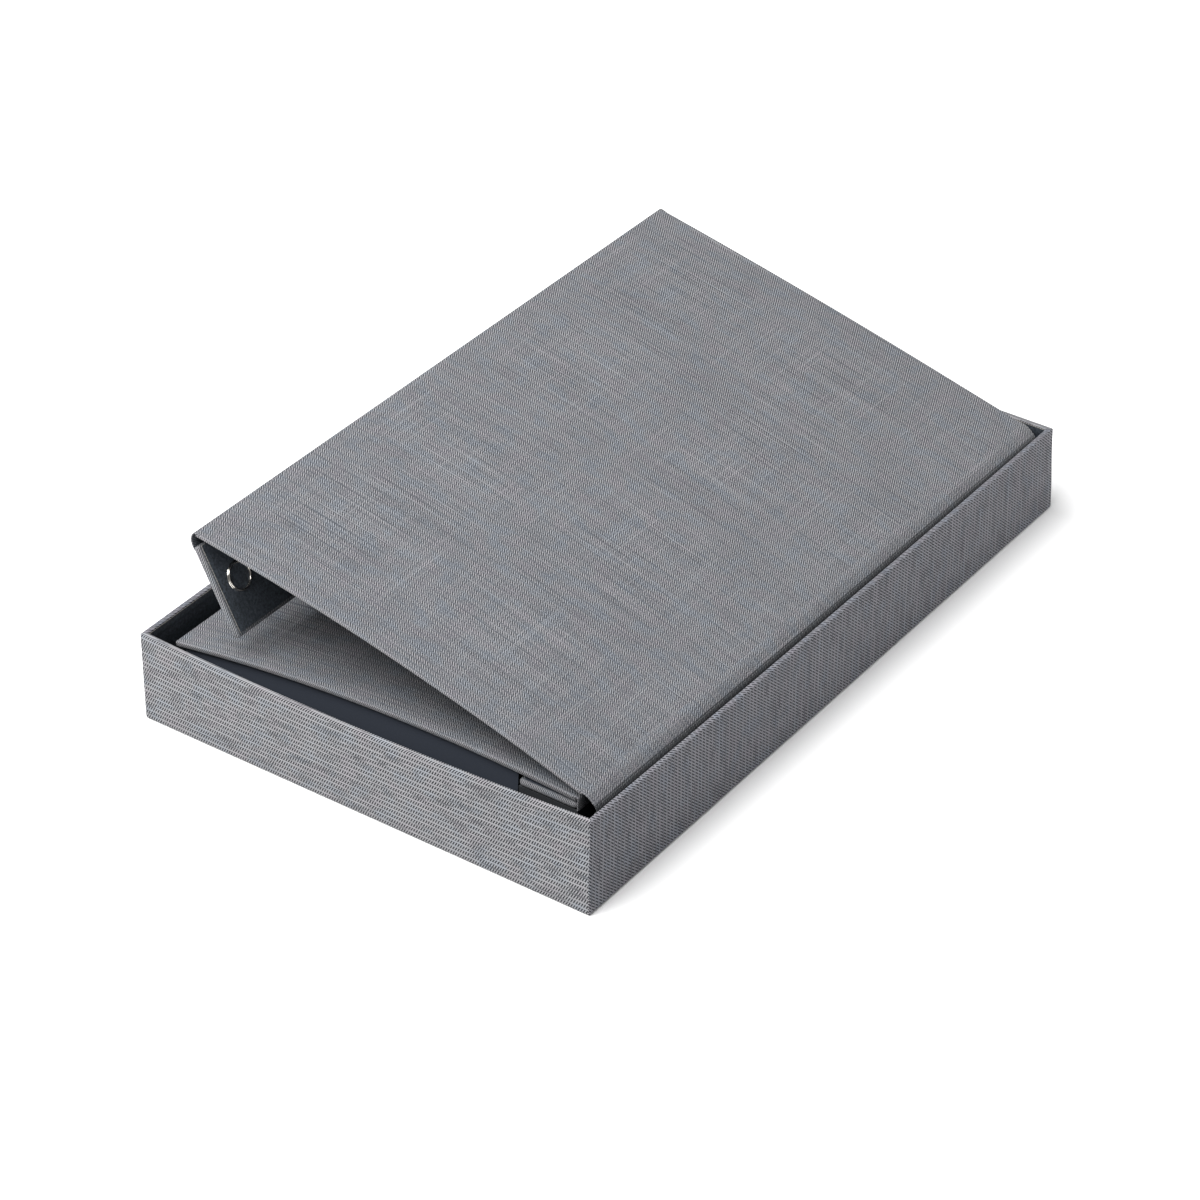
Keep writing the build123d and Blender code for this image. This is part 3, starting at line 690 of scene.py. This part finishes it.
def tray_cloth():
    """The cloth goes from under the base up the walls, over the rim and just down inside."""
    r = TRAY_ROUND
    low = tray_low[2]
    inner = WALL + LINING_LIFT              # its inner turn-in, under the lining
    outside = [(TURN_IN, low)]
    outside += arc_points((r, low + r), r, -90, 0)
    outside += [(0, z) for z in np.linspace(low + 3, TRAY_Z - 3, 9)]
    outside += arc_points((r, TRAY_Z - r), r, 0, 75)
    outside += arc_points((inner - RIM_ROUND, TRAY_Z - RIM_ROUND), RIM_ROUND, 100, 180)
    outside += [(inner, TRAY_Z - TURN_DOWN)]
    back = []
    for inset, z in reversed(outside[1:-1]):
        side = min(max(inset, CLOTH), inner - CLOTH)
        back.append((side, min(max(z, low + CLOTH), TRAY_Z - CLOTH)))
    back = [(inner - CLOTH, TRAY_Z - TURN_DOWN)] + without_repeats(back) + [(TURN_IN, low + CLOTH)]
    parts = ring(Parts(), outside + back, TRAY_X, TRAY_Y, tray_shape)
    piece = build("tray_cloth", parts, wall_cloth, ["tray_cover_cloth"])
    piece.data.materials.append(shaded_side_cloth)
    # the faces nearer the side walls take the darker cloth, painted shade
    for face in piece.data.polygons:        # the weave turns a quarter at the mitred corners
        x, y, _ = face.center / MM
        face.material_index = int(TRAY_X - abs(x) < TRAY_Y - abs(y))
    return piece


def without_repeats(points):
    """The points, less any that lie on the one before."""
    kept = []
    for point in points:
        if not kept or math.dist(point, kept[-1]) > 0.02:
            kept.append(point)
    return kept


def tray_lining():
    """Paper down the inside of the walls. Its upper edge laps the cloth's turn-in."""
    top = TRAY_Z - LINING_DROP
    levels = np.linspace(FLOOR_TOP + 0.3, top - 4.5, 10)
    profile = [(WALL - PAPER, FLOOR_TOP)] + [(WALL - PAPER, z) for z in levels]
    profile += [(WALL - PAPER, top), (WALL + LINING_LAP, top)]
    profile += [(WALL + LINING_LAP, z) for z in np.linspace(top - 0.4, top - 2.6, 3)]
    profile += [(WALL, z) for z in levels[::-1]] + [(WALL, FLOOR_TOP)]
    parts = ring(Parts(), profile, TRAY_X, TRAY_Y, tray_shape)
    return build("tray_lining", parts, paper, ["tray_wall_lining"], smooth_faces=False)


WALL_BOARD_EASE = 0.4       # keeps a wall's board clear of its cloth and lining


def wall_board(node):
    """A wall's board, which bows with the cloth round it."""
    low, high = span(node)
    low, high = low + WALL_BOARD_EASE, high - WALL_BOARD_EASE
    parts = sheet(
        Parts(), (low[0], high[0]), (low[1], high[1]), (low[2], high[2]), BOARD_ROUND,
        flat_place, (16, 24, 9), tray_shape)
    return build(node + "_board", parts, board, [node], smooth_faces=False)


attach(tray_cloth(), "tray")
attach(tray_lining(), "tray")
for wall_name in ("tray_wall_hinge", "tray_wall_fore_edge", "tray_wall_head", "tray_wall_tail"):
    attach(wall_board(wall_name), "tray")

# ---------------------------------------------------------------- covers


def wrapped(name, path, length, depth, node, shape, body):
    """The cloth round a cover's board. Height is measured from the cover's lower face."""
    parts = sheet(
        Parts(), (-CLOTH, length), (-HALF, HALF), (LINING_LIFT, depth), EDGE_ROUND,
        path.place, (48, 72), shape)
    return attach(build(name, parts, cover_cloth, [node]), body)


def core(name, path, length, depth, node, shape, body):
    """The board inside a cover."""
    half = HALF_BOARD - BOARD_EASE
    parts = sheet(
        Parts(), (BOARD_EASE, length - BOARD_EASE), (-half, half), (LINING_LIFT + BOARD_EASE, depth - CLOTH),
        BOARD_ROUND, path.place, (32, 48), shape)
    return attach(build(name, parts, board, [node]), body)


def pasted(name, path, along, low, high, node, shape, body):
    """A lining paper pasted on a cover, short of its edges."""
    half = HALF - LINING_INSET
    parts = sheet(
        Parts(), along, (-half, half), (low, high), (high - low) / 2,
        path.place, (40, 60), shape)
    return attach(build(name, parts, paper, [node]), body)


LINING_TOP = LINING_LIFT + 0.1      # the lining's upper face, just inside the cloth
LINING_END = 0.6                    # how far the lining stops short of the hinge

lid_path = arched(lid_curve)
LID_WIDTH = lid_path.length
wrapped("lid_wrap", lid_path, LID_WIDTH, LID_DEPTH, "lid_cloth", case_shape, "lid")
core("lid_stiffener", lid_path, LID_WIDTH, LID_DEPTH, "lid_board", case_shape, "lid")
pasted(
    "lid_inside_paper", lid_path, (LINING_INSET, LID_WIDTH - LINING_END), 0, LINING_TOP, "lid_lining",
    case_shape, "lid")

cover_path = arched(cover_curve)
COVER_WIDTH = cover_path.length
wrapped(
    "inner_cover_wrap", cover_path, COVER_WIDTH, COVER_DEPTH, "inner_cover_cloth", cover_shape, "inner_cover")
core(
    "inner_cover_stiffener", cover_path, COVER_WIDTH, COVER_DEPTH, "inner_cover_board", cover_shape,
    "inner_cover")
pasted(
    "inner_cover_paper", cover_path, (LINING_INSET, COVER_WIDTH - LINING_END), 0, LINING_TOP,
    "inner_cover_lining", cover_shape, "inner_cover")

# A strip of slate paper hangs under each end of the inner cover and closes the gap beside it; its slate
# colour is painted shade, standing for the dim interior seen through that gap.
SIDE_PAPER_DEPTH = 15.0
SIDE_PAPER = 0.3                    # its thickness
SIDE_PAPER_ALONG = (3, 171)         # from the fore edge to just before the binding strip
side_low, side_high = span("inner_cover_side_papers")
strips = Parts()
for y in ((side_low[1], side_low[1] + SIDE_PAPER), (side_high[1] - SIDE_PAPER, side_high[1])):
    sheet(
        strips, SIDE_PAPER_ALONG, y, (-SIDE_PAPER_DEPTH, LINING_LIFT / 2), 0.14,
        cover_path.place, (40, 1), cover_shape)
piece = build("inner_cover_side_paper", strips, side_paper, ["inner_cover_side_papers"])
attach(piece, "inner_cover")

# ---------------------------------------------------------------- flap

FLAP_SLOPE = math.radians(63.2)     # how steeply the flap hangs from the lid
FLAP_START = 0.7                    # from the crease to the board
FLAP_END = 41.5
FLAP_BOARD = 1.6                    # inner face of the flap's board, above its outer face
FLAP_PAPER = 0.06                   # how far the flap's lining stands out
flap_run = np.array([math.cos(FLAP_SLOPE), -math.sin(FLAP_SLOPE)])
flap_in = np.array([math.sin(FLAP_SLOPE), math.cos(FLAP_SLOPE)])
flap_origin = FLAP_CREASE - flap_in * HINGE / 2
flap_path = straight(flap_origin, flap_origin + flap_run * FLAP_END)

parts = sheet(
    Parts(), (FLAP_START, FLAP_END + CLOTH), (-HALF, HALF), (0, FLAP_DEPTH - LINING_LIFT), EDGE_ROUND,
    flap_path.place, (16, 72), case_shape)
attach(build("flap_wrap", parts, cover_cloth, ["flap_cloth"]), "flap")
half = HALF_BOARD - BOARD_EASE
parts = sheet(
    Parts(), (FLAP_START + 0.4, FLAP_END - BOARD_EASE), (-half, half), (CLOTH, FLAP_BOARD), BOARD_ROUND,
    flap_path.place, (12, 48), case_shape)
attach(build("flap_stiffener", parts, board, ["flap_board"]), "flap")
pasted(
    "flap_inside_paper", flap_path, (FLAP_START + 0.2, FLAP_END - LINING_INSET + 0.3),
    FLAP_DEPTH - LINING_TOP, FLAP_DEPTH + FLAP_PAPER, "flap_lining", case_shape, "flap")

BUTTON_ALONG = 20.0                 # from the crease to the button's centre
BUTTON_Y = 149.5
CUP_RADIUS = 6.2


def button_profile():
    """A pressed cup with a rolled rim: outside wall, rim, inner wall and floor."""
    rim = [(CUP_RADIUS - 0.45 + 0.45 * math.cos(a), 0.55 + 0.45 * math.sin(a))
           for a in np.radians(np.linspace(0, 180, 9))]
    flare = [(CUP_RADIUS + 0.35, -0.02), (CUP_RADIUS + 0.22, 0.12), (CUP_RADIUS + 0.04, 0.34)]
    inside = [(CUP_RADIUS - 1.0, 0.0), (CUP_RADIUS - 1.2, -0.45), (0.4, -0.45)]
    return [(0.4, -1.5), (CUP_RADIUS - 0.1, -1.5), (CUP_RADIUS - 0.1, -0.1)] + flare + rim + inside


def magnet_profile():
    """A disc with a softened rim, a shallow turned groove and a small centre hole."""
    return [
        (1.0, -1.0), (4.0, -1.0), (4.6, -0.9), (4.9, -0.42), (4.85, -0.2), (4.6, -0.08), (4.1, -0.05),
        (3.9, -0.14), (3.6, -0.14), (3.4, -0.04), (2.0, 0.0), (1.3, -0.03), (1.05, -0.2)]


def disc(name, profile, height, path, material, node, body, shape=as_is):
    """The same turned part near both ends of the flap or the lid."""
    parts = Parts()
    along = np.array([BUTTON_ALONG, BUTTON_ALONG])
    for y in (-BUTTON_Y, BUTTON_Y):
        foot, tip = path.place(along, np.array([y, y]), np.array([height, height + 1]))
        foot, tip = shape(np.array([foot, tip]))
        turned(parts, profile, foot, (tip - foot) / np.linalg.norm(tip - foot))
    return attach(build(name, parts, material, [node]), body)


FACE = FLAP_DEPTH + FLAP_PAPER
disc(
    "button_cups", button_profile(), FACE, flap_path, button_metal,
    "flap_magnet_cups", "flap")
disc(
    "button_magnets", magnet_profile(), FACE, flap_path, magnet_metal,
    "flap_magnets", "flap")
KEEPER = [(0.3, 0.0), (5.7, 0.0), (6.0, 0.15), (6.0, 0.5), (5.8, 0.6), (0.3, 0.6)]
KEEPER_LIFT = 0.25                  # hides them between the lid's lining and its board
disc("keepers", KEEPER, KEEPER_LIFT, lid_path, keeper_metal, "lid_keepers", "lid", case_shape)

# ---------------------------------------------------------------- cloth hinges

RIDGE_PITCH = 1.1


def ridged(path, height):
    """The path's placing with fine ridges of thread along the strip, which fade out at its ends."""
    def placed(a, y, h):
        fade = smooth(a - 0.5) * smooth(path.length - 0.5 - a)
        return path.place(a, y, h + height * fade * np.sin(2 * math.pi * a / RIDGE_PITCH))
    return placed


def hinge_pair(name, path, split, bodies, cloth_node, lining_node, zones, cloths, ridge=0.0):
    """A hinge strip in two pieces that meet at split.

    Its cloth is on the outside of the path and its lining inside. zones gives a span along each piece, which
    is not used."""
    outer = (HINGE / 2 - CLOTH, HINGE / 2)
    inner = (-HINGE / 2, HINGE / 2 - CLOTH)
    place = ridged(path, ridge)
    for end, (low, high), pair, zone, cloth in zip(
            ("a", "b"), ((0, split), (split, path.length)), bodies, zones, cloths):
        for kind, height, material, slot, node, half in (
                ("cloth", outer, cloth, "book_cloth", cloth_node, HALF),
                ("lining", inner, dark_cloth, "hinge_lining", lining_node, HALF_BOARD)):
            parts = Parts()
            prism(parts, place, (low, high), (-half, half), height, case_shape)
            piece = build(f"{name}_{kind}_{end}", parts, material, [node])
            ends = path.place(np.array(zone), np.zeros(2), np.zeros(2)) * MM
            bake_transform(piece)


def prism(parts, place, along, y, height, shape, steps=(14, 56)):
    """A plain closed strip with square edges, which abuts the next strip exactly."""
    a = np.linspace(*along, steps[0] + 1)
    b = np.linspace(*y, steps[1] + 1)
    n, m = len(a), len(b)
    top = [(i, j, height[1]) for i in a for j in b]
    bottom = [(i, j, height[0]) for i in a for j in b]
    points = np.array(top + bottom)
    size = n * m
    faces, uvs = [], []

    def add(*corner_list):
        faces.append(tuple(corner_list))
        for c in corner_list:
            drop = height[1] - points[c][2]
            uvs.append(((points[c][0] + drop) * MM, points[c][1] * MM))

    for i in range(n - 1):
        for j in range(m - 1):
            p, q, r, s = i * m + j, (i + 1) * m + j, (i + 1) * m + j + 1, i * m + j + 1
            add(p, q, r, s)
            add(size + s, size + r, size + q, size + p)
    for j in range(m - 1):
        add(size + j, j, j + 1, size + j + 1)
        e = (n - 1) * m + j
        add(size + e + 1, e + 1, e, size + e)
    for i in range(n - 1):
        p, q = i * m, (i + 1) * m
        add(size + p, size + q, q, p)
        p, q = p + m - 1, q + m - 1
        add(p, q, size + q, size + p)
    parts.add(shape(place(*points.T)), faces, uvs, np.zeros(len(points)))
    return parts


# Lid to spine: from inside the lid's end, round the roll and down to the spine's top.
ROLL_BULGE = ([104.3, 43.6], [106.6, 41.2])     # the cloth rounds outwards between its two creases
FOLD_BULGE = ([-90.7, 87.2], [-90.4, 89.8])
HINGE_LIFT = HINGE / 2 - 0.02                   # lays a strip flush with a board's outer face
spine_low, spine_high = span("spine_board")
lid_end = lid_path.place(
    np.array([LID_WIDTH - 2.5, LID_WIDTH - 0.4]), np.zeros(2),
    np.array([LID_DEPTH - 0.55, LID_DEPTH - HINGE_LIFT]))[:, [0, 2]]
roll = Path(rounded_corners([
    lid_end[0], lid_end[1], LID_CREASE + np.array([1.6, -0.15]), *ROLL_BULGE,
    SPINE_CREASE, SPINE_CREASE + np.array([0.02, -3.0])]))

# Flap to lid: from the flap's top, round the fold and into the lid's fore edge.
fold_start = FLAP_CREASE + flap_run * 1.6 + flap_in * 0.12
lid_front = lid_path.place(
    np.array([0.4, 2.5]), np.zeros(2), np.array([LID_DEPTH - HINGE_LIFT, LID_DEPTH - 0.55]))[:, [0, 2]]
fold = Path(rounded_corners([
    fold_start, FLAP_CREASE, *FOLD_BULGE, FOLD_CREASE + np.array([-0.1, 0.0]), lid_front[0], lid_front[1]]))

roll_split = roll.length * 0.60
# the spine hinge's outer piece takes the near-black cloth, painted shade of the groove
hinge_pair(
    "spine_hinge", roll, roll_split, (("lid", "lid_hinge"), ("lid_hinge", "tray")), "lid_hinge_cloth",
    "lid_hinge_lining", ((2.0, 6.5), (roll_split + 0.5, roll.length - 2.6)), (cover_cloth, groove_shade_cloth),
    ridge=0.10)
fold_split = fold.length * 0.52
hinge_pair(
    "fold_hinge", fold, fold_split, (("flap", "flap_hinge"), ("flap_hinge", "lid")), "flap_hinge_cloth",
    "flap_hinge_lining", ((0.8, fold_split - 0.5), (fold_split + 0.8, fold.length - 2.2)),
    (cover_cloth, cover_cloth))

# ---------------------------------------------------------------- case, spine and binding edge

back_low, back_high = span("back_cover_board")
case_low, case_high = span("case_cloth")
parts = Parts()
sheet(
    parts, (back_low[0] - CLOTH, back_high[0]), (-HALF, HALF), (case_low[2], back_high[2] + 0.05), EDGE_ROUND,
    flat_place, (24, 40), case_shape)
sheet(
    parts, (back_high[0] - 2, spine_high[0] + CLOTH), (-HALF, HALF), (case_low[2], case_low[2] + CLOTH), 0.1,
    flat_place, (8, 40), case_shape)
sheet(
    parts, (spine_low[0] - PAPER, spine_high[0] + CLOTH), (-HALF, HALF), (case_low[2], case_high[2]),
    EDGE_ROUND, flat_place, (4, 40), case_shape)
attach(build("case_wrap", parts, cover_cloth, ["case_cloth"]), "tray")
parts = sheet(
    Parts(), (spine_low[0] + 0.1, spine_high[0] - 0.1), (-HALF_BOARD, HALF_BOARD),
    (spine_low[2] + 0.1, spine_high[2] - 0.1), BOARD_ROUND, flat_place, (4, 32), case_shape)
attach(build("spine_stiffener", parts, board, ["spine_board"]), "tray")
lining_low, lining_high = span("spine_lining")
parts = sheet(
    Parts(), (lining_low[0] - 0.12, lining_high[0] + 0.02), (-HALF_BOARD + 1, HALF_BOARD - 1),
    (lining_low[2], lining_high[2] - 0.8), 0.06, flat_place, (3, 32), case_shape)
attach(build("spine_inside_cloth", parts, dark_cloth, ["spine_lining"]), "tray")

STRIP_ROUND = 1.8                   # the cloth is rolled thickly round the binding strip
STRIP_BOARD_EASE = 0.5              # keeps its board inside those rounded edges
STRIP_BOARD_ROUND = 0.9
strip_low, strip_high = span("binding_strip_cloth")
parts = sheet(
    Parts(), (strip_low[0], strip_high[0]), (-HALF, HALF), (strip_low[2], strip_high[2] - 0.1), STRIP_ROUND,
    flat_place, (16, 56))
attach(build("binding_strip_wrap", parts, cover_cloth, ["binding_strip_cloth"]), "tray")
board_low, board_high = span("binding_strip_board")
board_low, board_high = board_low + STRIP_BOARD_EASE, board_high - STRIP_BOARD_EASE
parts = sheet(
    Parts(), (board_low[0], board_high[0]), (board_low[1], board_high[1]), (board_low[2], board_high[2]),
    STRIP_BOARD_ROUND, flat_place, (8, 32))
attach(build("binding_strip_stiffener", parts, board, ["binding_strip_board"]), "tray")
parts = sheet(
    Parts(), (strip_low[0] + 2.2, strip_high[0] - 0.4), (-HALF + 1.0, HALF - 1.0),
    (strip_high[2] - 0.25, strip_high[2]), 0.12, flat_place, (12, 56))
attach(build("binding_strip_top", parts, side_paper, ["binding_strip_lining"]), "tray")

# The inner cover's own hinge stands up from the binding strip's back edge.
stand_low, stand_high = span("inner_cover_hinge_cloth")
cover_end = cover_path.place(
    np.array([COVER_WIDTH - 2.0, COVER_WIDTH + 0.1]), np.zeros(2),
    np.array([COVER_DEPTH - 0.6, COVER_DEPTH - 0.25]))[:, [0, 2]]
stand_x = (stand_low[0] + stand_high[0]) / 2
stand = Path(rounded_corners([
    cover_end[0], cover_end[1], [stand_x + 0.25, COVER_CREASE[1] - 0.3], [stand_x + 0.1, 39.5],
    [stand_x, stand_low[2]]]))
parts = prism(Parts(), stand.place, (0, stand.length), (-HALF, HALF), (-HINGE / 2, HINGE / 2), cover_shape)
piece = build("inner_cover_hinge", parts, cover_cloth, ["inner_cover_hinge_cloth"])
ends = stand.place(np.array([1.6, 4.6]), np.zeros(2), np.zeros(2)) * MM
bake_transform(piece)

# ---------------------------------------------------------------- CAD nodes that stay

CAD_LOOKS = {
    "tray_underside_paper": (paper_plain, "black_lining"),
    "tray_filler_card": (board, "grey_board"),
    "tray_base_board": (board, "grey_board"),
    "tray_floor_lining": (paper_plain, "black_lining"),
    "back_cover_board": (board, "grey_board"),
    "back_cover_lining": (paper_plain, "black_lining"),
    "guard_strips": (card, "guard_card"),
    "post_barrels": (post_metal, "post_metal"),
    "post_screws": (post_metal, "post_metal"),
}
for node, (material, slot_name) in CAD_LOOKS.items():
    cad_node = frame["nodes"][node]
    cad_node.data.materials.clear()
    cad_node.data.materials.append(material)

# ---------------------------------------------------------------- floor, light and camera

scene = bpy.context.scene
scene.view_settings.view_transform = "Standard"

FLOOR = 6.0                         # half its width, in metres
FLOOR_Z = -0.0002                   # just under the tray's paper
WORLD_LIGHT = 0.275
floor_mesh = bpy.data.meshes.new("floor")
floor_corners = ((-FLOOR, -FLOOR), (FLOOR, -FLOOR), (FLOOR, FLOOR), (-FLOOR, FLOOR))
floor_mesh.from_pydata([(x, y, FLOOR_Z) for x, y in floor_corners], [], [(0, 1, 2, 3)])
floor = bpy.data.objects.new("floor", floor_mesh)
scene.collection.objects.link(floor)
floor_look = Shader("floor", roughness=0.9, specular=0.0)
floor_look.surface.inputs["Base Color"].default_value = (0.93, 0.93, 0.93, 1)
floor_mesh.materials.append(floor_look.material)

world = bpy.data.worlds.new("studio")
world.use_nodes = True
background = world.node_tree.nodes["Background"]
background.inputs["Color"].default_value = (1, 1, 1, 1)
background.inputs["Strength"].default_value = WORLD_LIGHT
scene.world = world


def softbox(name, place, target, size, power):
    """A square area light that faces a point."""
    data = bpy.data.lights.new(name, "AREA")
    data.shape = "SQUARE"
    data.size = size
    data.energy = power
    light = bpy.data.objects.new(name, data)
    light.location = place
    light.rotation_mode = "QUATERNION"
    light.rotation_quaternion = (Vector(target) - Vector(place)).to_track_quat("-Z", "Y")
    scene.collection.objects.link(light)


softbox("key", (-0.32, -0.55, 1.25), (0, 0, 0), 1.3, 43)
softbox("far_fill", (0.50, 0.62, 0.30), (0.1, 0.15, 0), 0.4, 1.9)

AZIMUTH, ELEVATION = math.radians(35.35), math.radians(34.45)
DISTANCE = 1.6821                   # from the camera to its target, in metres
TARGET = Vector((-0.00833, 0.00021, 0.00070))
LENS = 118.83
back = Vector((
    math.sin(AZIMUTH) * math.cos(ELEVATION), -math.cos(AZIMUTH) * math.cos(ELEVATION), math.sin(ELEVATION)))
camera_data = bpy.data.cameras.new("camera")
camera_data.sensor_width = 36
camera_data.lens = LENS
camera = bpy.data.objects.new("camera", camera_data)
camera.location = TARGET + back * DISTANCE
camera.rotation_mode = "QUATERNION"
camera.rotation_quaternion = (-back).to_track_quat("-Z", "Y")
scene.collection.objects.link(camera)
scene.camera = camera
